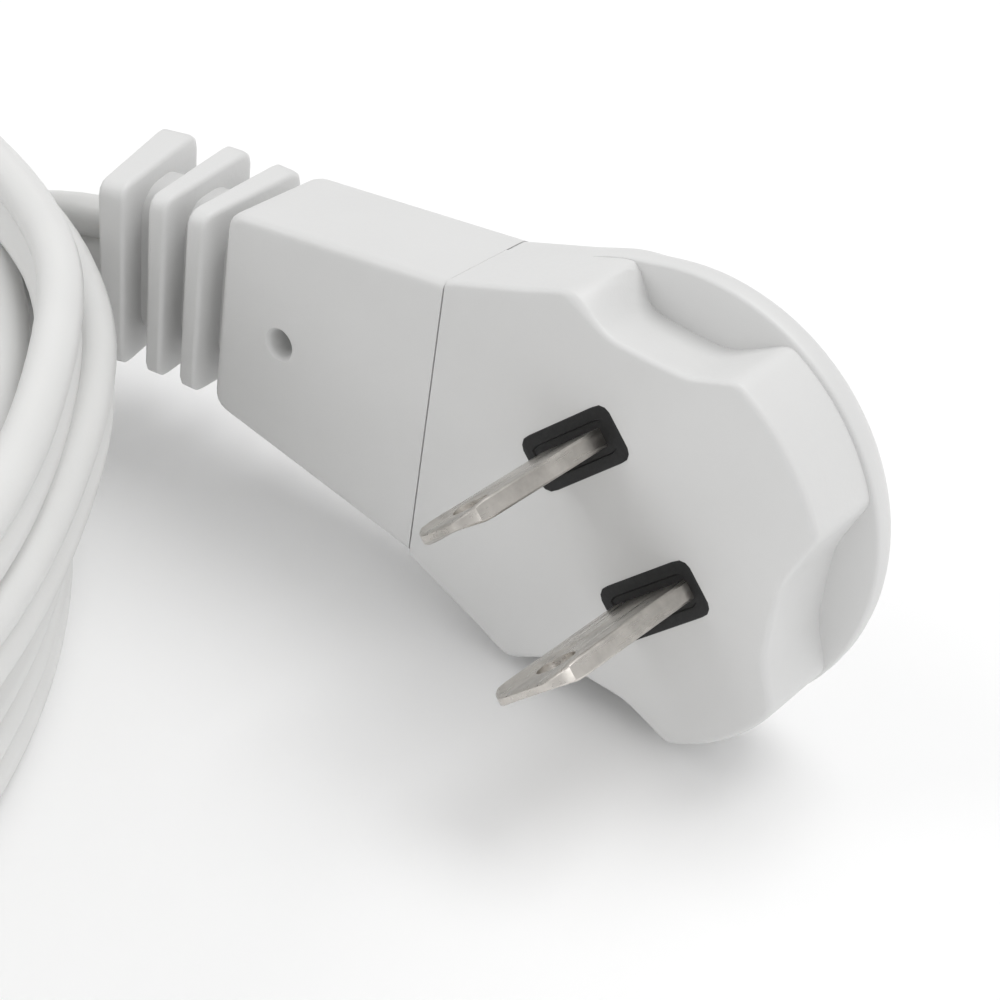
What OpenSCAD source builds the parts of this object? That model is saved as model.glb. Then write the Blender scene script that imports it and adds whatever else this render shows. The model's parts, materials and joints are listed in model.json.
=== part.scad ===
// Two-wire extension cord: a flat plug whose blades stand at 45 degrees to the cord,
// a flat twin cord wound into an oval coil, and a three-outlet block with turning covers.
// Millimetres. The plug stands on the rim of its round head, face towards -Y, cord towards -X.

/* [Plug] */
// How far the blades stand out of the face
blade_len = 15.9; // [15.9:0.1:18.2]
// Distance between the middles of the two blades
blade_pitch = 12.7; // [12.5:0.1:12.9]
// Width of the line blade
line_w = 6.35; // [6.1:0.05:6.6]
// Width of the wider neutral blade
neutral_w = 7.94; // [7.7:0.02:8.2]
// Thickness of both blades
blade_t = 1.5; // [1.4:0.05:1.6]
// Radius of the round rim at the back of the head
flange_r = 18; // [17.5:0.25:20]
// Depth of the plug body from its face to its back
body_depth = 11.5; // [11:0.25:14]
// Length of the tapered rear body
rear_len = 20; // [17:1:26]

/* [Strain relief] */
// Length of the ribbed strain relief along its middle
relief_len = 13.9; // [12:0.1:18]
// How far the strain relief bends towards the coil, in degrees
relief_bend = 19; // [12:1:21]
// How far the plane of that bend is turned down from level, in degrees
relief_tilt = 30; // [0:5:40]

/* [Cord] */
// Width of the flat twin cord
cord_w = 7.1; // [6.8:0.1:7.4]
// Thickness of the flat twin cord
cord_t = 3.5; // [3.2:0.1:3.7]
// Layers of cord in the coil
coil_layers = 4; // [3:1:5]
// Half of the coil's long axis, at the middle of its turns
coil_long = 59; // [58:0.5:60]
// Half of the coil's short axis, at the middle of its turns
coil_short = 42; // [41:0.5:43]

/* [Outlet block] */
// Number of outlets in the row
outlets = 3; // [2:1:3]
// Distance between two outlets
outlet_pitch = 24; // [23:0.5:25]
// Width of the block
block_w = 27; // [26.5:0.5:27.5]
// Height of the block
block_h = 24; // [23:0.5:26]

/* [Hidden] */
$fn = 96;
eps = 0.01;

// Plug: x along the cord, y into the body, z up, from the middle of the blades on the face.
blade_hole_r = 1.59;
blade_hole_in = 11.7;
face_r = 17.4;
neck_x = 18;
neck_half = 12.3;
rear_half = 8.3;
rear_x = -neck_x - rear_len;
seam = 0.12;
rim_y = 6.3;
rim_t = 1.4;
dome_r = 3.8;
cover_x = -11;
cover_seam = 0.05;
hole_x = -32.9;
hole_r = 1.2;
hole_deep = 3.2;
grip_half = 7.4;
grip_low = 14.2;
tip_half = 6.6;
tip_low = 14.4;
collar_w = 9.3;
collar_t = 4.1;
pocket_w = 11.9;
pocket_l = 21.4;
pocket_round = 1.6;
carrier_fit = 0.15;
collar_round = 0.9;
collar_in = 1.5;
carrier_y = 6;
cavity_y = 9.6;
blade_in = 6.8;
tab_x = -9.4;
tab_t = 0.8;
mid_y = 5.75;
wire_y = 7.7;
wire_z = 4.5;
wire_r = 1.65;
wire_fit = 0.15;
wire_bend_x = -14;
wire_end = [-33.6, 5.75, 1.9];
core_r = 0.75;
crimp_r = 1.6;
crimp_len = 4.55;
strands_len = 5;
tongue = 3.8;

relief_r = relief_len / (relief_bend * PI / 180);
relief_drop = relief_r * (1 - cos(relief_bend));
relief_y = 6.6;
relief_z = 13.4;
relief_round = 2;
rib_y = 12.4;
rib_z = 16.6;
rib_round = 1.6;
// Ribs: where each starts along the relief and how thick it is.
ribs = [[2.0, 2.0], [6.3, 1.9], [11.2, 2.7]];
rib_out = rib_round + (rib_y / 2 - rib_round) * cos(relief_tilt)
    + (rib_z / 2 - rib_round) * sin(relief_tilt);
relief_reach = -rear_x + (relief_r + rib_out) * sin(relief_bend);

head_x = (relief_reach - flange_r) / 2;
face_y = (blade_len - body_depth) / 2;
axis_z = flange_r;

// Coil: long axis turned about +Z, lying just clear of the floor on its tie.
tie_t = 0.4;
tie_w = 6;
coil_at = [-49.3, -50];
coil_turn = -51;
column = 3.7;
coil_side = column / 2 + cord_t / 2;
coil_h = coil_layers * cord_w;
ring_points = 72;

// Cord from the strain relief down round the back of the coil, into its bottom layer.
lead_start = [
    head_x + rear_x - relief_r * sin(relief_bend),
    face_y + mid_y - relief_drop * cos(relief_tilt),
    axis_z - relief_drop * sin(relief_tilt)
];
lead_route = [
    lead_start,
    [-36.3, 5.2, 16.3], [-39.3, 4.75, 15.2], [-42.3, 4.7, 13.9], [-45.3, 5.1, 12.5],
    [-49.3, 6.3, 10.7], [-54.3, 7.9, 8.9], [-59.3, 8.8, 7.4], [-65.3, 9.2, 6.1],
    [-73.3, 8.6, 4.9], [-80.3, 6.6, 4.2], [-86.3, 3, 4], [-91.3, -3, 3.95], [-94.3, -8, 3.95]
];
// Cord from the top layer of the coil down to the outlet block.
tail_route = [
    [-97.3, -10.6, 25.2], [-102.3, -14.6, 24.6], [-110.9, -21.6, 22.2], [-117.8, -30, 19],
    [-121.8, -41.8, 15.8], [-120.3, -54, 13.4], [-115.3, -63.8, 12.3], [-112.3, -67.5, 12]
];
section_sides = 12;

// Outlet block: x along the block away from the cord, z up, from the cord end of its relief.
block_at = [-112.3, -67.5];
block_turn = -51;
block_relief_len = 14;
block_len = outlets * outlet_pitch + 4;
block_round = 4;
wall = 2;
split_z = 9;
top_t = 3.2;
cord_z = 12;
cover_r = 10.4;
cover_gap = 0.15;
cover_t = 1.3;
recess = 1.5;
pin_r = 1.5;
pin_fit = 0.05;
pin_head_r = 2.4;
slot_t = 2.1;
line_slot = 7.4;
neutral_slot = 9;
screw_r = 1.4;
screw_head_r = 2.6;
screw_x = [outlet_pitch, 2 * outlet_pitch];
bus_z = 6;
tray_t = 1.4;
floor_t = 1;

white = [0.93, 0.93, 0.92];
black = [0.07, 0.07, 0.075];
nickel = [0.72, 0.71, 0.68];
brass = [0.78, 0.62, 0.30];
copper = [0.78, 0.43, 0.25];

// ---- helpers ----

module at_plug() {
    translate([head_x, face_y, axis_z]) children();
}

module at_block() {
    translate([block_at.x, block_at.y, 0]) rotate([0, 0, block_turn]) children();
}

// Extrudes an outline of x and z along y, from one depth to another.
module slab(from, to) {
    translate([0, to, 0]) rotate([90, 0, 0]) linear_extrude(height = to - from) children();
}

module rounded_rect(w, h, r) {
    square([w - 2 * r, h], center = true);
    square([w, h - 2 * r], center = true);
    for (x = [-1, 1], y = [-1, 1]) translate([x * (w / 2 - r), y * (h / 2 - r)]) circle(r = r);
}

// A straight rod between two points.
module rod(a, b, r) {
    d = b - a;
    translate(a) rotate([0, acos(d.z / norm(d)), atan2(d.y, d.x)]) cylinder(h = norm(d), r = r);
}

// A circle that cuts a hollow of the given depth line into an edge.
function hollow_r(half, rise) = (half ^ 2 + rise ^ 2) / (2 * rise);

// ---- plug head ----

module head_outline() {
    grip_r = hollow_r(grip_half, sqrt(face_r ^ 2 - grip_half ^ 2) - grip_low);
    tip_r = hollow_r(tip_half, sqrt(face_r ^ 2 - tip_half ^ 2) - tip_low);
    shoulder = sqrt(face_r ^ 2 - grip_half ^ 2);
    difference() {
        union() {
            circle(r = face_r);
            polygon([
                [-neck_x, -neck_half], [-grip_half, -shoulder], [0, 0],
                [-grip_half, shoulder], [-neck_x, neck_half]
            ]);
        }
        for (side = [-1, 1]) translate([0, side * (grip_low + grip_r)]) circle(r = grip_r);
        translate([tip_low + tip_r, 0]) circle(r = tip_r);
    }
}

module neck_outline(from, to) {
    slope = (sqrt(face_r ^ 2 - grip_half ^ 2) - neck_half) / (neck_x - grip_half);
    near = neck_half + slope * (neck_x + from);
    far = neck_half + slope * (neck_x + to);
    polygon([[from, -near], [to, -far], [to, far], [from, near]]);
}

// A wire's middle line inside the plug: where it bends, and a place on its way to the cord.
function wire_bend(side) = [wire_bend_x, wire_y, side * wire_z];
function along_wire(side, share) =
    wire_bend(side) * (1 - share) + [wire_end.x, wire_end.y, side * wire_end.z] * share;

module wire_ways() {
    for (side = [-1, 1]) {
        rod(wire_bend(side), along_wire(side, 1), wire_r + wire_fit);
        rod([-8, wire_y, side * wire_z], [-15.2, wire_y, side * wire_z], crimp_r + 0.4);
    }
}

module head_body() {
    color(white) at_plug() difference() {
        union() {
            slab(0, rim_y) head_outline();
            slab(rim_y - eps, body_depth) neck_outline(-neck_x, cover_x);
        }
        slab(collar_in - 0.1, rim_y + eps) rotate(45) rounded_rect(pocket_w, pocket_l, pocket_round);
        slab(-1, 2) for (side = [-1, 1])
            rotate(45) translate([0, side * blade_pitch / 2])
                rounded_rect(collar_w + 0.1, collar_t + 0.1, collar_round);
        wire_ways();
    }
}

// The rim and dome of the back, turned about the plug's middle.
module back_disc() {
    translate([0, rim_y, 0]) rotate([-90, 0, 0]) rotate_extrude() difference() {
        square([flange_r, body_depth - rim_y]);
        translate([flange_r - dome_r, rim_t]) difference() {
            square(dome_r + 1);
            circle(r = dome_r);
        }
    }
}

module back_cover() {
    from = cover_x + cover_seam;
    color(white) at_plug() difference() {
        union() {
            intersection() {
                back_disc();
                translate([from, 0, -2 * flange_r]) cube(4 * flange_r);
            }
            slab(rim_y, body_depth) neck_outline(from, -4);
        }
        slab(rim_y - 1, cavity_y) {
            rotate(45) rounded_rect(pocket_w, pocket_l, pocket_round);
            translate([-8, 0]) rounded_rect(13, 14, pocket_round);
        }
        wire_ways();
    }
}

module rear_body() {
    color(white) at_plug() difference() {
        slab(0, body_depth) polygon([
            [rear_x, -rear_half], [-neck_x - seam, -neck_half + 0.3],
            [-neck_x - seam, neck_half - 0.3], [rear_x, rear_half]
        ]);
        translate([hole_x, -1, 0]) rotate([-90, 0, 0]) cylinder(h = hole_deep + 1, r = hole_r);
        wire_ways();
        translate([rear_x - 1, mid_y, 0]) rotate([0, 90, 0])
            linear_extrude(height = tongue + 1.2) rounded_rect(7.4, 5, 1.5);
    }
}

// ---- blades and their carrier ----

module blade_carrier() {
    color(black) at_plug() rotate([0, -45, 0]) difference() {
        union() {
            slab(collar_in, carrier_y)
                rounded_rect(pocket_w - 2 * carrier_fit, pocket_l - 2 * carrier_fit, pocket_round);
            slab(0, collar_in + eps) for (side = [-1, 1])
                translate([0, side * blade_pitch / 2]) rounded_rect(collar_w, collar_t, collar_round);
        }
        slab(-1, carrier_y + 1) {
            translate([0, blade_pitch / 2]) square([line_w + 0.1, blade_t + 0.1], center = true);
            translate([0, -blade_pitch / 2]) square([neutral_w + 0.1, blade_t + 0.1], center = true);
        }
    }
}

// A blade: its corners are cut at the tip, and a tab at its back reaches the crimp.
module blade(w, side) {
    tip = 1;
    at_plug() {
        rotate([0, -45, 0]) translate([0, 0, side * blade_pitch / 2]) difference() {
            translate([0, 0, -blade_t / 2]) linear_extrude(height = blade_t) polygon([
                [-w / 2, blade_in], [-w / 2, -blade_len + tip], [-w / 2 + tip, -blade_len],
                [w / 2 - tip, -blade_len], [w / 2, -blade_len + tip], [w / 2, blade_in]
            ]);
            translate([0, -blade_hole_in, -blade_t]) cylinder(h = 2 * blade_t, r = blade_hole_r);
        }
        reach = -tab_x - side * blade_pitch / 2 / sqrt(2);
        translate([tab_x, blade_in - eps, side * wire_z - 1]) cube([reach + 0.6, tab_t, 2]);
    }
}

module line_blade() {
    color(nickel) blade(line_w, 1);
}

module neutral_blade() {
    color(nickel) blade(neutral_w, -1);
}

// A rod along the crimp, from the wire's bend minus an overhang.
module crimp_rod(side, over, length, r) {
    translate([wire_bend_x - over, wire_y, side * wire_z]) rotate([0, 90, 0]) cylinder(h = length, r = r);
}

module crimp(side) {
    at_plug() difference() {
        crimp_rod(side, 0, crimp_len, crimp_r);
        crimp_rod(side, 1, crimp_len + 2, core_r + 0.05);
    }
}

module line_crimp() {
    color(brass) crimp(1);
}

module neutral_crimp() {
    color(brass) crimp(-1);
}

module strands(side) {
    at_plug() crimp_rod(side, 0.6, strands_len, core_r);
}

module line_strands() {
    color(copper) strands(1);
}

module neutral_strands() {
    color(copper) strands(-1);
}

module insulation(side) {
    at_plug() rod(along_wire(side, 0.05), along_wire(side, 0.99), wire_r);
}

module line_insulation() {
    color(white) insulation(1);
}

module neutral_insulation() {
    color(white) insulation(-1);
}

// ---- strain relief ----

// A piece of the bent strain relief, from one place along its middle to another.
module relief_part(from, length, w, h, r) {
    turn = 180 / PI / relief_r;
    translate([rear_x, mid_y, 0]) rotate([relief_tilt, 0, 0])
        translate([0, -relief_r, 0]) rotate([0, 0, 90 + from * turn])
            rotate_extrude(angle = length * turn) translate([relief_r, 0])
                rotate(-relief_tilt) rounded_rect(w, h, r);
}

module strain_relief() {
    color(white) at_plug() {
        relief_part(0, relief_len, relief_y, relief_z, relief_round);
        for (rib = ribs) relief_part(rib[0], rib[1], rib_y, rib_z, rib_round);
        translate([rear_x - eps, mid_y, 0]) rotate([0, 90, 0])
            linear_extrude(height = tongue) rounded_rect(7.2, 4.8, 1.5);
    }
}

// ---- cord ----

// Points of the cord's flat round-ended section, turned to stand on edge across the route.
function heading(route, i) =
    let (a = route[max(i - 1, 0)], b = route[min(i + 1, len(route) - 1)], d = b - a) d / norm(d);
function section(at, dir) =
    let (flat = norm([dir.x, dir.y]), side = [-dir.y, dir.x, 0] / flat, up = cross(dir, side))
    [
        for (k = [0 : section_sides - 1])
            let (
                a = 360 * (k + 0.5) / section_sides,
                lobe = (cord_w - cord_t) / 2 * sign(sin(a))
            )
            at + side * cord_t / 2 * cos(a) + up * (cord_t / 2 * sin(a) + lobe)
    ];

module swept(route) {
    n = section_sides;
    last = len(route) - 1;
    points = [for (i = [0 : last]) each section(route[i], heading(route, i))];
    sides = [
        for (i = [0 : last - 1], k = [0 : n - 1])
            let (a = i * n + k, b = i * n + (k + 1) % n) each [[a, b + n, b], [a, a + n, b + n]]
    ];
    start = [[for (k = [0 : n - 1]) k]];
    end = [[for (k = [n - 1 : -1 : 0]) last * n + k]];
    polyhedron(points = points, faces = concat(sides, start, end));
}

module cord_lead() {
    color(white) swept(lead_route);
}

module cord_tail() {
    color(white) swept(tail_route);
}

module oval(grow) {
    polygon([
        for (i = [0 : ring_points - 1]) let (a = 360 * i / ring_points)
            [(coil_long + grow) * cos(a), (coil_short + grow) * sin(a)]
    ]);
}

module at_coil() {
    translate([coil_at.x, coil_at.y, tie_t]) rotate([0, 0, coil_turn]) children();
}

module cord_coil() {
    color(white) at_coil() linear_extrude(height = coil_h) difference() {
        oval(coil_side);
        oval(-coil_side);
    }
}

module coil_tie() {
    clear = 0.3;
    color(black) at_coil() translate([coil_long, tie_w / 2, coil_h / 2]) rotate([90, 0, 0])
        linear_extrude(height = tie_w) difference() {
            rounded_rect(2 * coil_side + 2 * tie_t + 2 * clear, coil_h + 2 * tie_t, 1);
            square([2 * coil_side + 2 * clear, coil_h + 2 * eps], center = true);
        }
}

// ---- outlet block ----

module block_relief() {
    color(white) at_block() translate([0, 0, cord_z]) rotate([90, 0, 90]) {
        linear_extrude(height = block_relief_len + wall) rounded_rect(5.6, 9.6, 2);
        for (x = [1.5, 5.5, 9.5]) translate([0, 0, x]) linear_extrude(height = 2)
            rounded_rect(12, 15, 1.6);
        translate([0, 0, block_relief_len + wall]) linear_extrude(height = 1.5)
            rounded_rect(8, 12, 2);
    }
}

module block_outline(inset) {
    translate([block_relief_len + block_len / 2, 0])
        rounded_rect(block_len - 2 * inset, block_w - 2 * inset, block_round - inset);
}

module relief_way() {
    translate([block_relief_len - 1, 0, cord_z]) rotate([90, 0, 90])
        linear_extrude(height = wall + 2) rounded_rect(5.7, 9.7, 2);
}

module screws_at(z) {
    for (x = screw_x) translate([block_relief_len + 2 + x, 0, z]) children();
}

module block_base() {
    color(white) at_block() difference() {
        union() {
            difference() {
                linear_extrude(height = split_z) block_outline(0);
                translate([0, 0, wall]) linear_extrude(height = split_z) block_outline(wall);
            }
            screws_at(floor_t) cylinder(h = bus_z - tray_t - floor_t, r = 3.6);
        }
        relief_way();
        screws_at(-1) cylinder(h = 10, r = screw_r + 0.1);
        screws_at(-1) cylinder(h = 1 + 2, r = screw_head_r + 0.1);
    }
}

module at_outlet(i) {
    translate([block_relief_len + 2 + (i - 0.5) * outlet_pitch, 0, 0]) children();
}

module blade_slots(extra) {
    translate([0, blade_pitch / 2]) square([line_slot + extra, slot_t + extra], center = true);
    translate([0, -blade_pitch / 2]) square([neutral_slot + extra, slot_t + extra], center = true);
}

module block_top() {
    color(white) at_block() difference() {
        union() {
            difference() {
                translate([0, 0, split_z + eps]) linear_extrude(height = block_h - split_z - eps)
                    block_outline(0);
                translate([0, 0, split_z - 1]) linear_extrude(height = block_h - top_t - split_z + 1)
                    block_outline(wall);
            }
            screws_at(split_z + 2) cylinder(h = block_h - split_z - 4, r = 2.6);
        }
        relief_way();
        screws_at(split_z) cylinder(h = 9, r = screw_r - 0.2);
        for (i = [1 : outlets]) at_outlet(i) {
            translate([0, 0, block_h - recess]) cylinder(h = 3, r = cover_r + cover_gap);
            translate([0, 0, block_h - 6]) linear_extrude(height = 8) blade_slots(0);
            translate([0, 0, block_h - 6]) cylinder(h = 8, r = pin_r);
        }
    }
}

module bus_tray() {
    color(black) at_block() difference() {
        translate([block_relief_len + 8, -block_w / 2 + wall + 0.4, bus_z - tray_t])
            cube([block_len - 8 - wall - 2, block_w - 2 * wall - 0.8, tray_t]);
        screws_at(0) cylinder(h = 20, r = screw_r + 0.3);
    }
}

// A bus bar: a strip with a pair of spring leaves under each outlet slot.
module bus(side) {
    leaf_gap = 0.95;
    at_block() translate([0, side * blade_pitch / 2, 0]) {
        translate([block_relief_len + 10, -2.2, bus_z]) cube([block_len - 16, 4.4, 0.8]);
        for (i = [1 : outlets], leaf = [-1, 1]) at_outlet(i)
            translate([-4, leaf * (leaf_gap + 0.3) - 0.3, bus_z]) cube([8, 0.6, 13.4]);
    }
}

module line_bus() {
    color(brass) bus(1);
}

module neutral_bus() {
    color(brass) bus(-1);
}

module feed(side) {
    color(white) at_block()
        rod([block_relief_len + 5, side * 1.9, cord_z], [block_relief_len + 8.6, side * 5, 9.2], wire_r);
}

module line_feed() {
    feed(1);
}

module neutral_feed() {
    feed(-1);
}

module outlet_cover(i) {
    color(white) at_block() at_outlet(i) translate([0, 0, block_h - recess + 0.1]) difference() {
        cylinder(h = cover_t, r = cover_r);
        translate([0, 0, -1]) cylinder(h = 4, r = pin_r + pin_fit);
        translate([0, 0, cover_t - 0.7]) cylinder(h = 2, r = pin_head_r + 0.1);
        translate([0, 0, -1]) linear_extrude(height = 4) blade_slots(0.3);
        for (x = [-1, 1]) translate([x * 7.6, 0, cover_t - 0.6]) cylinder(h = 2, r = 1.3);
    }
}

module cover_pin(i) {
    color(nickel) at_block() at_outlet(i) {
        translate([0, 0, block_h - top_t]) cylinder(h = top_t - 0.7, r = pin_r);
        translate([0, 0, block_h - 0.75]) cylinder(h = 0.6, r = pin_head_r);
    }
}

module block_screws() {
    color(nickel) at_block() {
        screws_at(0.6) cylinder(h = 1.4, r = screw_head_r);
        screws_at(1.5) cylinder(h = 14, r = screw_r - 0.2);
    }
}

head_body();
back_cover();
rear_body();
blade_carrier();
line_blade();
neutral_blade();
line_crimp();
neutral_crimp();
line_strands();
neutral_strands();
line_insulation();
neutral_insulation();
strain_relief();
cord_lead();
cord_coil();
coil_tie();
cord_tail();
block_relief();
block_base();
block_top();
bus_tray();
line_bus();
neutral_bus();
outlet_cover(1);  // outlet_cover_1
outlet_cover(2);  // outlet_cover_2
outlet_cover(3);  // outlet_cover_3
cover_pin(1);  // cover_pin_1
cover_pin(2);  // cover_pin_2
cover_pin(3);  // cover_pin_3
block_screws();
line_feed();
neutral_feed();
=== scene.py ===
import json
import math
import bmesh
import bpy
from mathutils import Matrix, Vector


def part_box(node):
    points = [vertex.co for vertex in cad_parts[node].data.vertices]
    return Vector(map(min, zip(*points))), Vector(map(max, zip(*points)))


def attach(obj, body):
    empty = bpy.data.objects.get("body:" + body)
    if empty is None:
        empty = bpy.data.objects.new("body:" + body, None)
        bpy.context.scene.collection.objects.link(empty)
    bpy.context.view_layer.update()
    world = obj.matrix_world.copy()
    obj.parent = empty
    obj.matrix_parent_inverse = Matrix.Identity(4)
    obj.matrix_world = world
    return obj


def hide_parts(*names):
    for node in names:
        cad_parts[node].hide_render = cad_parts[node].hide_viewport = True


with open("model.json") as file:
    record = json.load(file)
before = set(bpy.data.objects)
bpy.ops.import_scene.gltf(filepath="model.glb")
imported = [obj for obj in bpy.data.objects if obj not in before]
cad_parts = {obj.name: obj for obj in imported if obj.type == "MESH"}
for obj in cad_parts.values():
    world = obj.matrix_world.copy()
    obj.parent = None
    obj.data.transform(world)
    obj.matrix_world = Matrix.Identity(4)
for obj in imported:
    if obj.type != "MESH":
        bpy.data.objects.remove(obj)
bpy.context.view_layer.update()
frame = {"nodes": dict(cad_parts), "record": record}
scene = bpy.context.scene

MM = 0.001
BODY = "cord_set"

# ---------------------------------------------------------------- places

cover_low, cover_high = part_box("back_cover")
rear_low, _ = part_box("rear_body")
FLANGE_R = 18.0
HEAD_AT = Vector((cover_high[0] / MM - FLANGE_R, rear_low[1] / MM, (cover_low[2] + cover_high[2]) / 2 / MM))
BACK_Y = 11.5
RIM_Y = 7.4
SEAM_X = -18.0
COVER_X = -11.0
REAR_END = -39.7
MID_Y = 5.75
BLADE_LEN = 15.9
BLADE_PITCH = 12.7

AT_PLUG = Matrix.Scale(MM, 4) @ Matrix.Translation(HEAD_AT)

# ---------------------------------------------------------------- camera and light

EYE = HEAD_AT + Vector((81.62, -140.65, 111.20))
RIGHT = Vector((0.7804, 0.6124, 0.1261))
UP = Vector((-0.4318, 0.3821, 0.8171))


def set_camera():
    right = RIGHT.normalized()
    back = right.cross(UP).normalized()
    up = back.cross(right)
    turn = Matrix((right, up, back)).transposed().to_4x4()
    data = bpy.data.cameras.new("camera")
    data.lens = 96.34
    data.sensor_width = 36
    data.clip_start = 0.01
    camera = bpy.data.objects.new("camera", data)
    camera.matrix_world = Matrix.Translation(EYE * MM) @ turn
    scene.collection.objects.link(camera)
    scene.camera = camera


def area_light(name, place, aim, size, power, tint=(1, 1, 1)):
    data = bpy.data.lights.new(name, "AREA")
    data.shape = "DISK"
    data.size = size
    data.energy = power
    data.color = tint
    lamp = bpy.data.objects.new(name, data)
    lamp.location = place
    lamp.rotation_euler = (Vector(aim) - Vector(place)).to_track_quat("-Z", "Y").to_euler()
    scene.collection.objects.link(lamp)


def set_studio():
    scene.view_settings.view_transform = "Standard"
    world = bpy.data.worlds.new("soft room")
    world.use_nodes = True
    background = world.node_tree.nodes["Background"]
    background.inputs["Color"].default_value = (1, 1, 1, 1)
    background.inputs["Strength"].default_value = 0.66
    scene.world = world
    middle = (-0.01, -0.01, 0.01)
    area_light("soft box above", (0.10, 0.25, 0.75), middle, 0.55, 2.2)
    area_light("soft box right", (0.75, -0.25, 0.45), middle, 0.50, 0.8)
    area_light("soft box left", (-0.60, -0.45, 0.50), middle, 0.60, 1.7)


# ---------------------------------------------------------------- materials


def new_material(name, color, roughness, metallic=0.0):
    material = bpy.data.materials.new(name)
    material.use_nodes = True
    shader = material.node_tree.nodes["Principled BSDF"]
    shader.inputs["Base Color"].default_value = (*color, 1)
    shader.inputs["Roughness"].default_value = roughness
    shader.inputs["Metallic"].default_value = metallic
    material.diffuse_color = (*color, 1)
    return material, material.node_tree, shader


def add(tree, kind, **values):
    node = tree.nodes.new(kind)
    for key, value in values.items():
        node.inputs[key.replace("_", " ")].default_value = value
    return node


def noise(tree, scale, detail=3.0, stretch=(1, 1, 1)):
    """Noise on the piece's own coordinates, in metres."""
    where = tree.nodes.new("ShaderNodeTexCoord")
    mapping = tree.nodes.new("ShaderNodeMapping")
    mapping.inputs["Scale"].default_value = stretch
    texture = add(tree, "ShaderNodeTexNoise", Scale=scale, Detail=detail, Roughness=0.6)
    tree.links.new(where.outputs["Object"], mapping.inputs["Vector"])
    tree.links.new(mapping.outputs["Vector"], texture.inputs["Vector"])
    return texture.outputs["Fac"]


def ramp(tree, source, low, high, at=(0.3, 0.7)):
    """Turns a noise into a colour between two others."""
    node = tree.nodes.new("ShaderNodeValToRGB")
    for element, place, color in zip(node.color_ramp.elements, at, (low, high)):
        element.position = place
        element.color = (*color, 1)
    tree.links.new(source, node.inputs["Fac"])
    return node.outputs["Color"]


def spread(tree, source, low, high):
    """Turns a noise into a number between two others."""
    node = add(tree, "ShaderNodeMapRange", From_Min=0.3, From_Max=0.7, To_Min=low, To_Max=high)
    tree.links.new(source, node.inputs["Value"])
    return node.outputs["Result"]


def bump(tree, shader, source, height, after=None):
    node = add(tree, "ShaderNodeBump", Strength=1.0, Distance=height)
    tree.links.new(source, node.inputs["Height"])
    if after is not None:
        tree.links.new(after, node.inputs["Normal"])
    tree.links.new(node.outputs["Normal"], shader.inputs["Normal"])
    return node.outputs["Normal"]


def moulded(name, color, roughness, grain=0.012, wave=0.02, tint=0.02):
    """Moulded plastic: a fine grain, slow flow waves and a slight change of colour and gloss."""
    material, tree, shader = new_material(name, color, roughness)
    slow = noise(tree, 90, 2)
    fine = noise(tree, 2600, 4)
    darker = tuple(c * (1 - tint) for c in color)
    tree.links.new(ramp(tree, slow, darker, color), shader.inputs["Base Color"])
    tree.links.new(spread(tree, fine, roughness - 0.05, roughness + 0.06), shader.inputs["Roughness"])
    first = bump(tree, shader, slow, wave * MM)
    bump(tree, shader, fine, grain * MM, first)
    shader.inputs["IOR"].default_value = 1.5
    return material


def soft_vinyl(name, color, roughness):
    """Soft cord jacket: smooth, with slow ripples and a little light let in under the surface."""
    material = moulded(name, color, roughness, grain=0.006, wave=0.05, tint=0.03)
    shader = material.node_tree.nodes["Principled BSDF"]
    shader.inputs["Subsurface Weight"].default_value = 0.08
    shader.inputs["Subsurface Radius"].default_value = (0.9, 0.85, 0.8)
    shader.inputs["Subsurface Scale"].default_value = 0.0012
    return material


def drawn_metal(name, color, roughness, along=(1, 0.04, 1), scratch=0.02):
    """Rolled metal strip: fine lines along it, faint stains and a worn plating."""
    material, tree, shader = new_material(name, color, roughness, 1.0)
    lines = noise(tree, 2400, 5, along)
    stains = noise(tree, 260, 4)
    darker = tuple(c * 0.72 for c in color)
    tree.links.new(ramp(tree, stains, darker, color, (0.35, 0.6)), shader.inputs["Base Color"])
    tree.links.new(spread(tree, lines, roughness - 0.1, roughness + 0.16), shader.inputs["Roughness"])
    bump(tree, shader, lines, scratch * MM)
    return material


def woven(name, color):
    """Napped strap: crossed threads with a dull sheen."""
    material, tree, shader = new_material(name, color, 0.85)
    nap = noise(tree, 3200, 5)
    rows = noise(tree, 1500, 2, (1, 1, 0.2))
    lighter = tuple(c * 2.2 for c in color)
    tree.links.new(ramp(tree, nap, color, lighter), shader.inputs["Base Color"])
    first = bump(tree, shader, rows, 0.15 * MM)
    bump(tree, shader, nap, 0.12 * MM, first)
    shader.inputs["Sheen Weight"].default_value = 0.3
    return material


WHITE_PVC = moulded("white moulded vinyl", (0.71, 0.71, 0.705), 0.42)
WHITE_SHELL = moulded("white block shell", (0.71, 0.71, 0.70), 0.34, grain=0.008)
WHITE_CORD = soft_vinyl("white cord vinyl", (0.75, 0.75, 0.74), 0.36)
WIRE_VINYL = soft_vinyl("wire vinyl", (0.70, 0.70, 0.69), 0.40)
BLACK_PLASTIC = moulded("black moulded plastic", (0.006, 0.006, 0.0065), 0.58, grain=0.03, tint=0.3)
NICKEL = drawn_metal("nickel plated strip", (0.66, 0.63, 0.59), 0.30)
BRASS = drawn_metal("brass strip", (0.78, 0.60, 0.30), 0.30, (0.04, 1, 1))
COPPER = drawn_metal("copper strands", (0.80, 0.42, 0.26), 0.34, (0.05, 1, 1), 0.05)
PIN_STEEL = drawn_metal("bright steel pin", (0.60, 0.60, 0.59), 0.28, (1, 1, 1))
TIE_BLACK = woven("black napped strap", (0.012, 0.012, 0.013))

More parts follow.
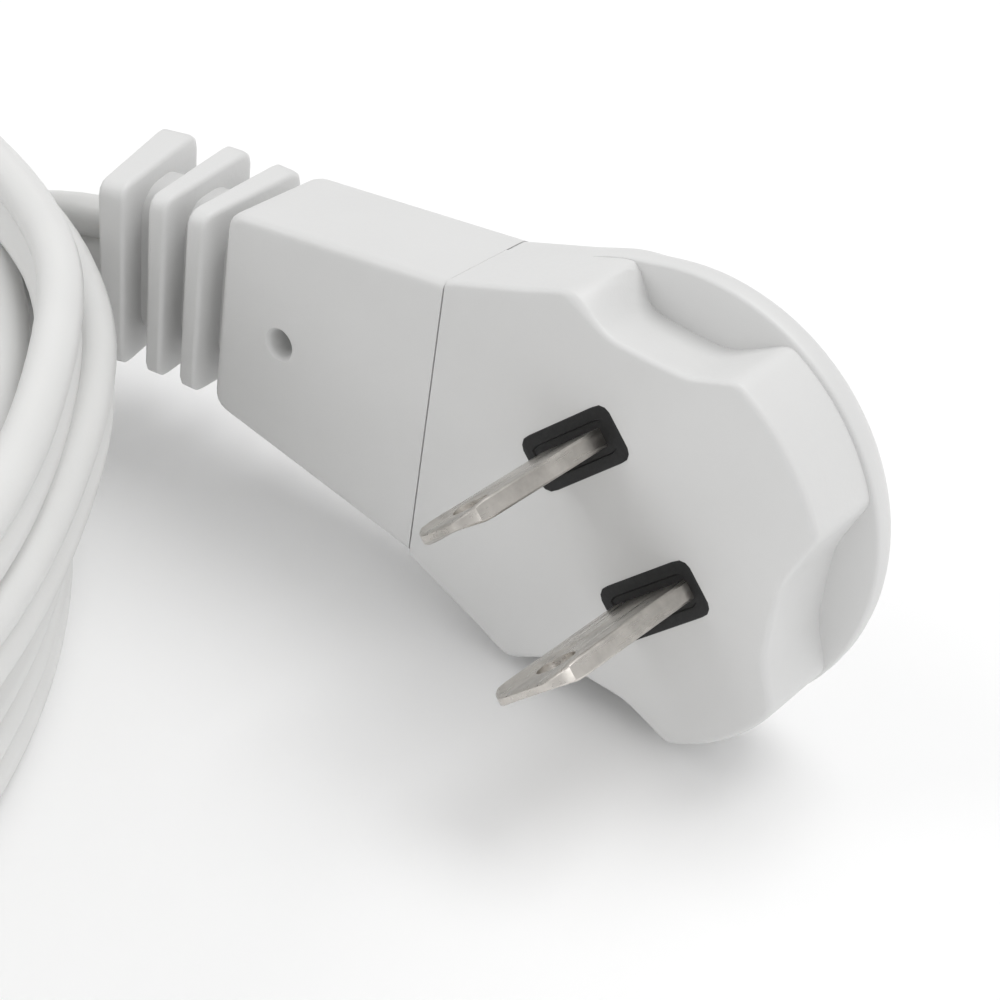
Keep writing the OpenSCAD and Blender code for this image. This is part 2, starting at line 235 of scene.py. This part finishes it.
BY_SLOT = {
    "white_pvc": WHITE_PVC, "white_cord": WHITE_CORD, "white_shell": WHITE_SHELL,
    "black_plastic": BLACK_PLASTIC, "nickel_blade": NICKEL, "brass_strip": BRASS,
    "copper_strands": COPPER, "wire_insulation": WIRE_VINYL, "pin_steel": PIN_STEEL,
    "tie_black": TIE_BLACK,
}

# ---------------------------------------------------------------- mesh helpers


def smooth_max(a, b, k):
    """The larger of two distances, with the corner between them rounded."""
    h = max(k - abs(a - b), 0) / k
    return max(a, b) + h * h * k / 4


def smooth_min(a, b, k):
    return -smooth_max(-a, -b, k)


def step(x, low, high):
    t = min(max((x - low) / (high - low), 0), 1)
    return t * t * (3 - 2 * t)


def outline(shape, count, middle=(0, 0), reach=45, inward=0.0):
    """Points on rays from a shape's middle, so far inside its edge. shape(x, z) is about the
    distance outside it, and inward is a number or a function of x."""
    d = 0.01

    def beyond(x, z):
        f = shape(x, z)
        slope = math.hypot(shape(x + d, z) - f, shape(x, z + d) - f) / d
        return f / max(slope, 0.3) + (inward(x) if callable(inward) else inward) > 0
    points = []
    for i in range(count):
        a = 2 * math.pi * i / count
        low, high = 0.0, reach
        for _ in range(24):
            r = (low + high) / 2
            if beyond(middle[0] + r * math.cos(a), middle[1] + r * math.sin(a)):
                high = r
            else:
                low = r
        points.append(Vector((middle[0] + low * math.cos(a), middle[1] + low * math.sin(a))))
    return points


def grow(bm, ring, places):
    """Extrudes a closed ring of verts and puts the new ring at the given places."""
    edges = [bm.edges.get((a, b)) for a, b in zip(ring, ring[1:] + ring[:1])]
    made = bmesh.ops.extrude_edge_only(bm, edges=edges)["geom"]
    fresh = {v for v in made if isinstance(v, bmesh.types.BMVert)}
    new = [next(e.other_vert(v) for e in v.link_edges if e.other_vert(v) in fresh) for v in ring]
    for vert, place in zip(new, places):
        vert.co = place
    return new


def cap(bm, ring, middle=None):
    """Closes a ring: two smaller rings inside it, then one small face."""
    if middle is None:
        middle = sum((v.co for v in ring), Vector()) / len(ring)
    for share in (0.5, 0.04):
        ring = grow(bm, ring, [middle.lerp(v.co, share) for v in ring])
    bmesh.ops.contextual_create(bm, geom=[bm.edges.get((a, b)) for a, b in zip(ring, ring[1:] + ring[:1])])


def shell(bm, rings, middle=None):
    """A closed skin through rings of places, all of the same number, capped round a middle."""
    def centre(places):
        return None if middle is None else Vector((middle[0], places[0].y, middle[1]))
    ring = bmesh.ops.create_circle(bm, cap_ends=False, radius=1, segments=len(rings[0]))["verts"]
    for vert, place in zip(ring, rings[0]):
        vert.co = place
    cap(bm, ring, centre(rings[0]))
    for places in rings[1:]:
        ring = grow(bm, ring, places)
    cap(bm, ring, centre(rings[-1]))


def trim(bm, x, keep_above):
    """Cuts everything at a plane across x and closes the cut."""
    geometry = bm.verts[:] + bm.edges[:] + bm.faces[:]
    side = (-1, 0, 0) if keep_above else (1, 0, 0)
    cut = bmesh.ops.bisect_plane(bm, geom=geometry, plane_co=(x, 0, 0), plane_no=side, clear_outer=True)
    edges = [e for e in cut["geom_cut"] if isinstance(e, bmesh.types.BMEdge)]
    made = bmesh.ops.contextual_create(bm, geom=edges)["faces"]
    bmesh.ops.triangulate(bm, faces=made)


def rounded_box(w, h, r, count=64, inward=0.0):
    """Outline of a rounded rectangle, so far inside it."""
    def inside(x, z):
        dx, dz = abs(x) - (w / 2 - r), abs(z) - (h / 2 - r)
        if dx > 0 and dz > 0:
            return math.hypot(dx, dz) - r
        return max(dx, dz) - r
    return outline(inside, count, reach=max(w, h), inward=inward)


def finish_mesh(mesh, sharp):
    for face in mesh.polygons:
        face.use_smooth = True
    mesh.set_sharp_from_angle(angle=math.radians(sharp))


def evaluated_mesh(obj):
    """The object's mesh with its modifiers applied."""
    depsgraph = bpy.context.evaluated_depsgraph_get()
    mesh = bpy.data.meshes.new_from_object(obj.evaluated_get(depsgraph))
    obj.modifiers.clear()
    return mesh


def cut_away(obj, cutter_bm):
    """Cuts a closed tool out of the piece."""
    bmesh.ops.recalc_face_normals(cutter_bm, faces=cutter_bm.faces)
    tool_mesh = bpy.data.meshes.new("tool")
    cutter_bm.to_mesh(tool_mesh)
    cutter_bm.free()
    tool = bpy.data.objects.new("tool", tool_mesh)
    scene.collection.objects.link(tool)
    boolean = obj.modifiers.new("cut", "BOOLEAN")
    boolean.operation = "DIFFERENCE"
    boolean.solver = "EXACT"
    boolean.object = tool
    mesh = evaluated_mesh(obj)
    mesh.name = obj.name
    obj.data = mesh
    bpy.data.objects.remove(tool)


def piece(name, bm, material, nodes, place=AT_PLUG, sharp=32, cutters=(), body=BODY):
    """Makes a finished piece that stands for CAD nodes, with its place in its mesh."""
    bmesh.ops.recalc_face_normals(bm, faces=bm.faces)
    mesh = bpy.data.meshes.new(name)
    bm.to_mesh(mesh)
    bm.free()
    obj = bpy.data.objects.new(name, mesh)
    scene.collection.objects.link(obj)
    for cutter in cutters:
        cut_away(obj, cutter)
    obj.data.transform(place)
    obj.data.materials.clear()
    obj.data.materials.append(material)
    finish_mesh(obj.data, sharp)
    weighted = obj.modifiers.new("even shading", "WEIGHTED_NORMAL")
    weighted.keep_sharp = True
    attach(obj, body)
    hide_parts(*nodes)
    return obj


# ---------------------------------------------------------------- cord

CORD_W = 7.1
CORD_T = 3.5
COIL_AT = (-49.3, -50.0)
COIL_TURN = math.radians(-51)
COIL_LONG, COIL_SHORT = 59.0, 42.0
COLUMN = 3.7
TIE_T = 0.4
LAYERS = [TIE_T + CORD_W * (n + 0.5) for n in range(4)]

LEAD_ROUTE = [
    (-37.3, 5.2, 17.0), (-39.8, 4.75, 16.2), (-42.6, 4.7, 15.0), (-45.6, 5.1, 13.5),
    (-49.5, 6.3, 11.4), (-54.3, 7.9, 9.2), (-59.3, 8.8, 7.5), (-65.3, 9.2, 6.1),
    (-73.3, 8.6, 4.9), (-80.3, 6.6, 4.2), (-86.3, 3, 4), (-91.3, -3, 3.95),
]
TAIL_ROUTE = [
    (-102.3, -14.6, 24.6), (-110.9, -21.6, 22.2), (-117.8, -30, 19),
    (-121.8, -41.8, 15.8), (-120.3, -54, 13.4), (-115.3, -63.8, 12.3), (-112.3, -67.5, 12),
]

RELIEF_LEN = 13.4
RELIEF_BEND = math.radians(19)
RELIEF_TILT = math.radians(12)
RELIEF_DROP = 0.5
RELIEF_R = RELIEF_LEN / RELIEF_BEND


def on_relief(along, side, up):
    """A place in the bent strain relief: along its middle, across it and up, in plug places."""
    a = along / RELIEF_R
    y = side * math.cos(RELIEF_TILT) + up * math.sin(RELIEF_TILT)
    z = -side * math.sin(RELIEF_TILT) + up * math.cos(RELIEF_TILT)
    x_local = -(RELIEF_R + y) * math.sin(a)
    y_local = (RELIEF_R + y) * math.cos(a) - RELIEF_R
    return Vector((
        REAR_END + x_local,
        MID_Y + y_local * math.cos(RELIEF_TILT) - z * math.sin(RELIEF_TILT),
        y_local * math.sin(RELIEF_TILT) + z * math.cos(RELIEF_TILT) - RELIEF_DROP,
    ))


def on_coil(a, out, z):
    """A place on the oval, at an angle in degrees and so far out from the middle of its band."""
    t = math.radians(a)
    u = (COIL_LONG + out) * math.cos(t)
    v = (COIL_SHORT + out) * math.sin(t)
    c, s = math.cos(COIL_TURN), math.sin(COIL_TURN)
    return Vector((COIL_AT[0] + u * c - v * s, COIL_AT[1] + u * s + v * c, z))


# Turns of the coil: column of each (1 outer, -1 inner) and its layer, from the plug end.
TURNS = [(1, 0), (-1, 0), (-1, 1), (1, 1), (1, 2), (-1, 2), (1, 3)]
# Where each turn goes over into the next: from, to, and how far it swings out on the way.
CROSSINGS = [(150, 190, 0), (140, 190, -3.4), (150, 200, 0), (165, 215, 3.6), (150, 190, 0), (140, 190, -3.4)]
FIRST_ANGLE = 196


def coil_place(total):
    """A place on the wound cord for the angle wound since the coil's first zero line."""
    turn = int((total - FIRST_ANGLE) // 360)
    turn = min(max(turn, 0), len(TURNS) - 1)
    a = total - 360 * turn
    column, layer = TURNS[turn]
    if a < 260 and turn > 0:
        start, end, swing = CROSSINGS[turn - 1]
        a_in = a
    else:
        start = None
    out = column * COLUMN / 2
    z = LAYERS[layer]
    return turn, a, out, z


def wound_path():
    """The coil's middle line: turns in two columns, with long crossings on the side away from the plug."""
    points = []
    total = FIRST_ANGLE
    last = 180 + 360 * len(TURNS)
    while total <= last + 0.01:
        a = total % 360
        out, z = wound_state(total)
        points.append(on_coil(a, out, z))
        total += 4
    return points


def wound_state(total):
    """How far out and how high the wound cord is, at an angle wound since the first zero line."""
    a = total % 360
    lap = int(total // 360)
    out, z = None, None
    here = lap - 1 if a < FIRST_ANGLE else lap
    if here < 0:
        here = 0
    if here > len(TURNS) - 1:
        here = len(TURNS) - 1
    column, layer = TURNS[here]
    out, z = column * COLUMN / 2, LAYERS[layer]
    for index, (start, end, swing) in enumerate(CROSSINGS):
        first = 360 * (index + 1) + start
        final = 360 * (index + 1) + end
        if first <= total <= final:
            t = (total - first) / (final - first)
            before, after = TURNS[index], TURNS[index + 1]
            rise = step(t, 0.08, 0.80)
            shift = step(t, 0.0, 1.0)
            out = (before[0] + (after[0] - before[0]) * shift) * COLUMN / 2
            z = LAYERS[before[1]] + (LAYERS[after[1]] - LAYERS[before[1]]) * rise
            out += swing * (step(t, 0.0, 0.35) - step(t, 0.65, 1.0))
            if index == 5:
                out = -COLUMN / 2 + swing * (step(t, 0.0, 0.35) - step(t, 0.65, 1.0))
        elif total > final and index + 1 > here:
            column, layer = TURNS[index + 1]
            out, z = column * COLUMN / 2, LAYERS[layer]
    top_start = 360 * 6 + 190
    if top_start < total < top_start + 60:
        out = COLUMN / 2 * (2 * step(total, top_start, top_start + 55) - 1)
    loose = total - 360 * 5
    out += 1.7 * (step(loose, 20, 50) - step(loose, 112, 142)) + 1.1 * (step(loose, 82, 104) - step(loose, 104, 128))
    top = total - 360 * 7
    out += 0.9 * (step(top, 20, 50) - step(top, 62, 92)) - 5.3 * (step(top, 98, 134) - step(top, 140, 176))
    return out, z


def catmull(points, spacing):
    """A smooth line through points, in short even steps."""
    dense = []
    for i in range(len(points) - 1):
        p0 = points[max(i - 1, 0)]
        p1, p2 = points[i], points[i + 1]
        p3 = points[min(i + 2, len(points) - 1)]
        for k in range(8):
            t = k / 8
            dense.append(0.5 * ((2 * p1) + (p2 - p0) * t + (2 * p0 - 5 * p1 + 4 * p2 - p3) * t * t
                                + (3 * p1 - p0 - 3 * p2 + p3) * t * t * t))
    dense.append(points[-1])
    even, carry = [dense[0]], 0.0
    for a, b in zip(dense, dense[1:]):
        length = (b - a).length
        while carry + length >= spacing:
            a = a.lerp(b, (spacing - carry) / length)
            length = (b - a).length
            carry = 0.0
            even.append(a.copy())
        carry += length
    if (even[-1] - dense[-1]).length > spacing * 0.3:
        even.append(dense[-1])
    else:
        even[-1] = dense[-1]
    return even


def relaxed(points, rounds):
    """Takes small kinks out of a line and leaves its ends."""
    for _ in range(rounds):
        points = [points[0]] + [
            (a + 2 * b + c) / 4 for a, b, c in zip(points, points[1:], points[2:])
        ] + [points[-1]]
    return points


def cord_section(count=22):
    """Twin section: two round lobes side by side with a groove between them, standing on edge."""
    lobe = CORD_T / 2
    shift = (CORD_W - CORD_T) / 2

    def inside(x, z):
        upper = math.hypot(x, z - shift) - lobe
        lower = math.hypot(x, z + shift) - lobe
        return smooth_min(upper, lower, 0.5)
    return outline(inside, count, reach=6)


def make_cord():
    lead_start = on_relief(RELIEF_LEN, 0, 0) + HEAD_AT
    inside = on_relief(RELIEF_LEN - 3, 0, 0) + HEAD_AT
    route = [inside, lead_start] + [Vector(p) for p in LEAD_ROUTE] + wound_path()
    route += [Vector(p) for p in TAIL_ROUTE]
    heading = Vector((math.cos(COIL_TURN), math.sin(COIL_TURN), 0))
    route.append(route[-1] + heading * 3)
    line = relaxed(catmull(route, 2.6), 3)
    section = cord_section()
    rings = []
    for i, p in enumerate(line):
        ahead = (line[min(i + 1, len(line) - 1)] - line[max(i - 1, 0)]).normalized()
        side = Vector((-ahead.y, ahead.x, 0)).normalized()
        up = ahead.cross(side)
        rings.append([p + side * q.x + up * q.y for q in section])
    bm = bmesh.new()
    shell(bm, rings)
    length = sum((b - a).length for a, b in zip(line, line[1:]))
    obj = piece("cord", bm, WHITE_CORD, ["cord_lead", "cord_coil", "cord_tail"],
                place=Matrix.Scale(MM, 4), sharp=75)
    print("cord length in mm", round(length))
    on_cord = [frame["nodes"][n] for n in (
        "block_base", "block_top", "block_relief", "bus_tray", "line_bus", "neutral_bus",
        "outlet_cover_1", "outlet_cover_2", "outlet_cover_3", "cover_pin_1", "cover_pin_2",
        "cover_pin_3", "block_screws", "line_feed", "neutral_feed")]
    return obj, line, lead_start, length, on_cord


# ---------------------------------------------------------------- plug

FACE_R = 17.75
FACE_DRAFT = 0.15
RIM_R = 18.0
NECK_HALF = 12.55
NECK_SLOPE = 0.373
NECK_STOP = 5.6


def neck_side(x, z):
    side = abs(z) - (NECK_HALF + NECK_SLOPE * (x - SEAM_X)) - 0.2 * step(-z, 0, 8)
    return max(smooth_max(side, x + NECK_STOP, 3.0), -22 - x)


def hollow(along, out, depth):
    """How far outside a finger hollow's floor a place is: along the edge, out from the middle."""
    low = 14.55 - 1.25 * depth
    near, slope = (3.6 - 1.0 * depth, 0.4 + 0.2 * depth) if along > 0 else (3.4 + 1.6 * depth, 0.5 + 2.0 * depth)
    past = abs(along) - near
    return (out - low - slope * (math.hypot(past, 0.8) + past) / 2) / math.hypot(1, slope * (past > 0))


def tip_hollow(along, out):
    past = abs(along) - 3.3
    return out - 14.15 - 0.42 * (math.hypot(past, 0.8) + past) / 2


def head_shape(y):
    """The front moulding at a depth: round, with a neck and three finger hollows."""
    depth = min(max(y, 0) / RIM_Y, 1)
    r = FACE_R - FACE_DRAFT * depth

    def shape(x, z):
        body = smooth_min(math.hypot(x, z) - r - 0.3 * step(-z, 2, 12), neck_side(x, z), 1.2)
        body = smooth_max(body, hollow(x, z, depth), 0.6)
        body = smooth_max(body, hollow(x, -z, depth), 0.6)
        return smooth_max(body, tip_hollow(z + 1, x), 0.6)
    return shape


def flange_shape(x, z):
    body = smooth_min(math.hypot(x, z) - RIM_R, neck_side(x, z) + 0.1, 1.2)
    return max(body, abs(z) - 18.0)


def at_depth(points, y):
    """Puts outline points at a depth, a number or a function of x."""
    return [Vector((p.x, y(p.x) if callable(y) else y, p.y)) for p in points]


ROUND_STEPS = 6
OUTLINE_POINTS = 300
FACE_EDGE = 0.5


def head_front():
    """The front moulding, from its face back to the flange."""
    rings = [at_depth(outline(head_shape(0), OUTLINE_POINTS, inward=FACE_EDGE + 0.5), 0)]
    for k in range(ROUND_STEPS + 1):
        a = math.radians(90 * k / ROUND_STEPS)
        y = FACE_EDGE * (1 - math.cos(a))
        rings.append(at_depth(outline(head_shape(y), OUTLINE_POINTS, inward=FACE_EDGE * (1 - math.sin(a))), y))
    for y in (1.5, 3, 4.5, 6, RIM_Y):
        rings.append(at_depth(outline(head_shape(y), OUTLINE_POINTS), y))
    bm = bmesh.new()
    shell(bm, rings, (0, 0))
    return bm


def back_rings():
    """The flange with its domed back, and the back half of the neck."""
    def rim(x):
        return 0.3 * step(x, -9, -6)

    def dome(x):
        return 2.2 + 1.1 * step(x, -13, -3)
    rings = [at_depth(outline(flange_shape, OUTLINE_POINTS, inward=1.5), RIM_Y)]
    for k in range(4):
        a = math.radians(30 * k)
        deep, cut = 1 - math.cos(a), 1 - math.sin(a)
        points = outline(flange_shape, OUTLINE_POINTS, inward=lambda x: rim(x) * cut)
        rings.append(at_depth(points, lambda x: RIM_Y + 0.3 * deep))
    for k in range(10):
        a = math.radians(10 * k)
        cut, deep = 1 - math.cos(a), 1 - math.sin(a)
        points = outline(flange_shape, OUTLINE_POINTS, inward=lambda x: dome(x) * cut)
        rings.append(at_depth(points, lambda x: BACK_Y - dome(x) * deep))
    rings.append(at_depth(outline(flange_shape, OUTLINE_POINTS, inward=lambda x: dome(x) + 0.8), BACK_Y))
    return rings


def back_shape(rings):
    bm = bmesh.new()
    shell(bm, rings, (0, 0))
    return bm


def join(bm, other):
    """Adds another shape to this one."""
    mesh = bpy.data.meshes.new("part")
    other.to_mesh(mesh)
    other.free()
    bm.from_mesh(mesh)
    bpy.data.meshes.remove(mesh)


def make_head():
    front = head_front()
    trim(front, SEAM_X, True)
    rings = back_rings()
    neck = back_shape(rings)
    trim(neck, SEAM_X, True)
    trim(neck, COVER_X, False)
    join(front, neck)
    piece("plug_front", front, WHITE_PVC, ["head_body"])
    cover = back_shape(rings)
    trim(cover, COVER_X, True)
    piece("plug_back", cover, WHITE_PVC, ["back_cover"])


REAR_HALF = 9.0


def make_rear():
    """The tapered rear body, with a blind hole in its front."""
    middle = (-26, 0)

    def shape(x, z):
        side = abs(z) - (REAR_HALF + (NECK_HALF - 0.1 - REAR_HALF) / (SEAM_X - REAR_END) * (x - REAR_END))
        return smooth_max(smooth_max(side, REAR_END - x, 1.6), x + 12, 0.2)

    def ring(inward, y):
        return at_depth(outline(shape, 200, middle, inward=inward), y)
    rings = [ring(1.4, 0)]
    for k in range(ROUND_STEPS + 1):
        a = math.radians(90 * k / ROUND_STEPS)
        rings.append(ring(0.8 * (1 - math.sin(a)), 0.8 * (1 - math.cos(a))))
    for k in range(10):
        a = math.radians(10 * k)
        rings.append(ring(2.2 * (1 - math.cos(a)), BACK_Y - 2.2 * (1 - math.sin(a))))
    rings.append(ring(3.0, BACK_Y))
    bm = bmesh.new()
    shell(bm, rings, middle)
    trim(bm, SEAM_X - 0.14, False)
    hole = bmesh.new()
    circle = [Vector((math.cos(2 * math.pi * k / 40), math.sin(2 * math.pi * k / 40))) for k in range(40)]
    middle = Vector((-33.2, -0.2))
    profile = [(-1.0, 1.75), (0.0, 1.42), (0.22, 1.24), (0.5, 1.18), (2.9, 1.12), (3.2, 0.8)]
    shell(hole, [at_depth([middle + c * r for c in circle], y) for y, r in profile])
    piece("plug_rear", bm, WHITE_PVC, ["rear_body"], cutters=[hole])


def bent_block(bm, size, start, end, edge, count=64):
    """A rounded block round the strain relief's middle line, from one place along it to another.
    size is its width, its height and the radius of its corners."""
    rings = []
    length = end - start
    levels = [(0, edge + 0.3)]
    levels += [(edge * (1 - math.cos(math.radians(18 * k))), edge * (1 - math.sin(math.radians(18 * k))))
               for k in range(6)]
    steps = max(int(length / 1.5), 1)
    levels += [(edge + (length - 2 * edge) * k / steps, 0) for k in range(1, steps)]
    levels += [(length - d, i) for d, i in reversed(levels[:7])]
    for depth, amount in levels:
        points = rounded_box(*size, count, inward=amount)
        rings.append([on_relief(start + depth, -p.x, p.y) for p in points])
    shell(bm, rings)


def make_relief():
    """Three ribs on a bent core that comes out of the rear body."""
    bm = bmesh.new()
    bent_block(bm, (6.7, 13.4, 2.6), -3.6, RELIEF_LEN - 0.3, 0.5)
    for start, thick in ((2.0, 2.0), (6.3, 1.9), (10.7, 2.7)):
        bent_block(bm, (12.6, 16.6, 1.3), start, start + thick, 0.45, 96)
    piece("strain_relief_ribs", bm, WHITE_PVC, ["strain_relief"])


def turned(side):
    """The place of a blade, at 45 degrees to the cord."""
    return AT_PLUG @ Matrix.Rotation(math.radians(-45), 4, "Y") @ Matrix.Translation((0, 0, side * BLADE_PITCH / 2))


def make_carrier():
    """Black carrier: two collars stand out of the face, on a block behind it."""
    bm = bmesh.new()
    profile = ((1.7, -0.03), (1.05, -0.03), (0.95, -0.16), (0.3, -0.16), (0.1, -0.1), (0, 0.05), (0, 2.0))
    for side in (-1, 1):
        shift = Vector((0, side * BLADE_PITCH / 2))
        shell(bm, [at_depth([p + shift for p in rounded_box(9.6, 4.7, 1.0, inward=amount)], y)
                   for amount, y in profile])
    shell(bm, [at_depth(rounded_box(11.6, 21.1, 1.5, 96, inward=amount), y)
               for amount, y in ((0.2, 1.5), (0, 1.7), (0, 5.8), (0.2, 6.0))])
    place = AT_PLUG @ Matrix.Rotation(math.radians(-45), 4, "Y")
    piece("blade_carrier_moulding", bm, BLACK_PLASTIC, ["blade_carrier"], place=place)


def make_blade(name, width, side, node):
    """A flat blade with its tip and corners bevelled, and a round hole near the tip."""
    half = width / 2
    corner = 1.3

    def inside(x, z):
        cut = (abs(x) - half + z - BLADE_LEN + corner) / math.sqrt(2)
        blunt = smooth_max(z - BLADE_LEN, cut, 0.5)
        return smooth_max(smooth_max(abs(x) - half, blunt, 0.3), -6.8 - z, 0.2)
    t = 1.5
    edge = 0.16
    rings = []
    levels = [(0, edge + 0.3), (0, edge), (0.05, edge * 0.5), (edge, 0), (t - edge, 0), (t - 0.05, edge * 0.5),
              (t, edge), (t, edge + 0.3)]
    for z, amount in levels:
        ring = []
        for p in outline(inside, 160, middle=(0, 5), inward=amount):
            near_tip = max(p.y - (BLADE_LEN - 1.9), 0) / 1.9
            flat = (z - t / 2) * (1 - 0.62 * near_tip)
            ring.append(Vector((p.x, -p.y, flat)))
        rings.append(ring)
    bm = bmesh.new()
    shell(bm, rings)
    hole = bmesh.new()
    circle = [Vector((math.cos(2 * math.pi * k / 48), math.sin(2 * math.pi * k / 48))) for k in range(48)]
    profile = [(-1.2, 1.9), (-t / 2, 1.66), (-t / 2 + 0.07, 1.59), (t / 2 - 0.07, 1.59), (t / 2, 1.66), (1.2, 1.9)]
    shell(hole, [[Vector((c.x * r, -11.7 + c.y * r, z)) for c in circle] for z, r in profile])
    piece(name, bm, NICKEL, [node], place=turned(side), sharp=25, cutters=[hole])


# ---------------------------------------------------------------- tie and outlet block


def make_tie():
    """A napped strap pulled round the coil, sloping down over the lower inner column."""
    low, high = TIE_T, LAYERS[3] + CORD_W / 2
    step_z = LAYERS[2] + CORD_W / 2
    reach = COLUMN / 2 + CORD_T / 2 + 0.15

    def band(thick, inward=0.0):
        def inside(x, z):
            box = smooth_max(abs(x) - reach - thick, low - thick - z, 0.9)
            box = smooth_max(box, z - high - thick, 0.9)
            slope = (z - step_z - 1.3 * thick - 0.9 - (x + reach) * 1.3) / 1.64
            return smooth_max(box, slope, 1.2)
        return outline(inside, 120, middle=(0, 10), inward=inward)
    outer, edge, inner = band(0.38), band(0.38, 0.06), band(0.02)

    def at(points, v):
        return [Vector((COIL_LONG + p.x, v, p.y)) for p in points]
    bm = bmesh.new()
    ring = bmesh.ops.create_circle(bm, cap_ends=False, radius=1, segments=len(outer))["verts"]
    first = ring
    for vert, spot in zip(ring, at(edge, -3.0)):
        vert.co = spot
    for points, v in ((outer, -2.9), (outer, 2.9), (edge, 3.0), (inner, 3.0), (inner, -3.0)):
        ring = grow(bm, ring, at(points, v))
    edges = [bm.edges.get((a, b)) for r in (ring, first) for a, b in zip(r, r[1:] + r[:1])]
    bmesh.ops.bridge_loops(bm, edges=edges)
    place = Matrix.Scale(MM, 4) @ Matrix.Translation((*COIL_AT, 0)) @ Matrix.Rotation(COIL_TURN, 4, "Z")
    return piece("tie_strap", bm, TIE_BLACK, ["coil_tie"], place=place)


def soften(node, width, material):
    """Gives a CAD node rounded edges and an even shading."""
    obj = frame["nodes"][node]
    weld = obj.modifiers.new("weld", "WELD")
    weld.merge_threshold = 1e-6
    edge = obj.modifiers.new("round edges", "BEVEL")
    edge.width = width * MM
    edge.segments = 3
    edge.limit_method = "ANGLE"
    edge.angle_limit = math.radians(40)
    edge.harden_normals = True
    return obj


def dress_cad():
    """Better materials for the CAD nodes that stay, and rounded edges on the outlet block."""
    slots = {s["node"]: s["material_slot"] for s in frame["record"]["subparts"]}
    for node, obj in frame["nodes"].items():
        obj.data.materials.clear()
        obj.data.materials.append(BY_SLOT[slots[node]])
    for node, width in (("block_base", 0.5), ("block_top", 0.35), ("block_relief", 0.4)):
        soften(node, width, None)
    for i in (1, 2, 3):
        soften(f"outlet_cover_{i}", 0.15, None)
        soften(f"cover_pin_{i}", 0.1, None)


def make_floor():
    bm = bmesh.new()
    bmesh.ops.create_grid(bm, x_segments=8, y_segments=8, size=3)
    mesh = bpy.data.meshes.new("floor")
    bm.to_mesh(mesh)
    bm.free()
    floor = bpy.data.objects.new("floor", mesh)
    scene.collection.objects.link(floor)
    material, tree, shader = new_material("pale floor", (0.96, 0.96, 0.96), 0.9)
    tree.links.new(ramp(tree, noise(tree, 4, 2), (0.955, 0.955, 0.955), (0.965, 0.965, 0.965)),
                   shader.inputs["Base Color"])
    shader.inputs["Specular IOR Level"].default_value = 0.1
    mesh.materials.append(material)


set_camera()
set_studio()
make_floor()
dress_cad()
cord_obj, cord_line, cord_exit, cord_length, cord_pieces = make_cord()
tie = make_tie()
make_head()
make_rear()
make_relief()
make_carrier()
make_blade("line_blade_strip", 6.35, 1, "line_blade")
make_blade("neutral_blade_strip", 7.94, -1, "neutral_blade")
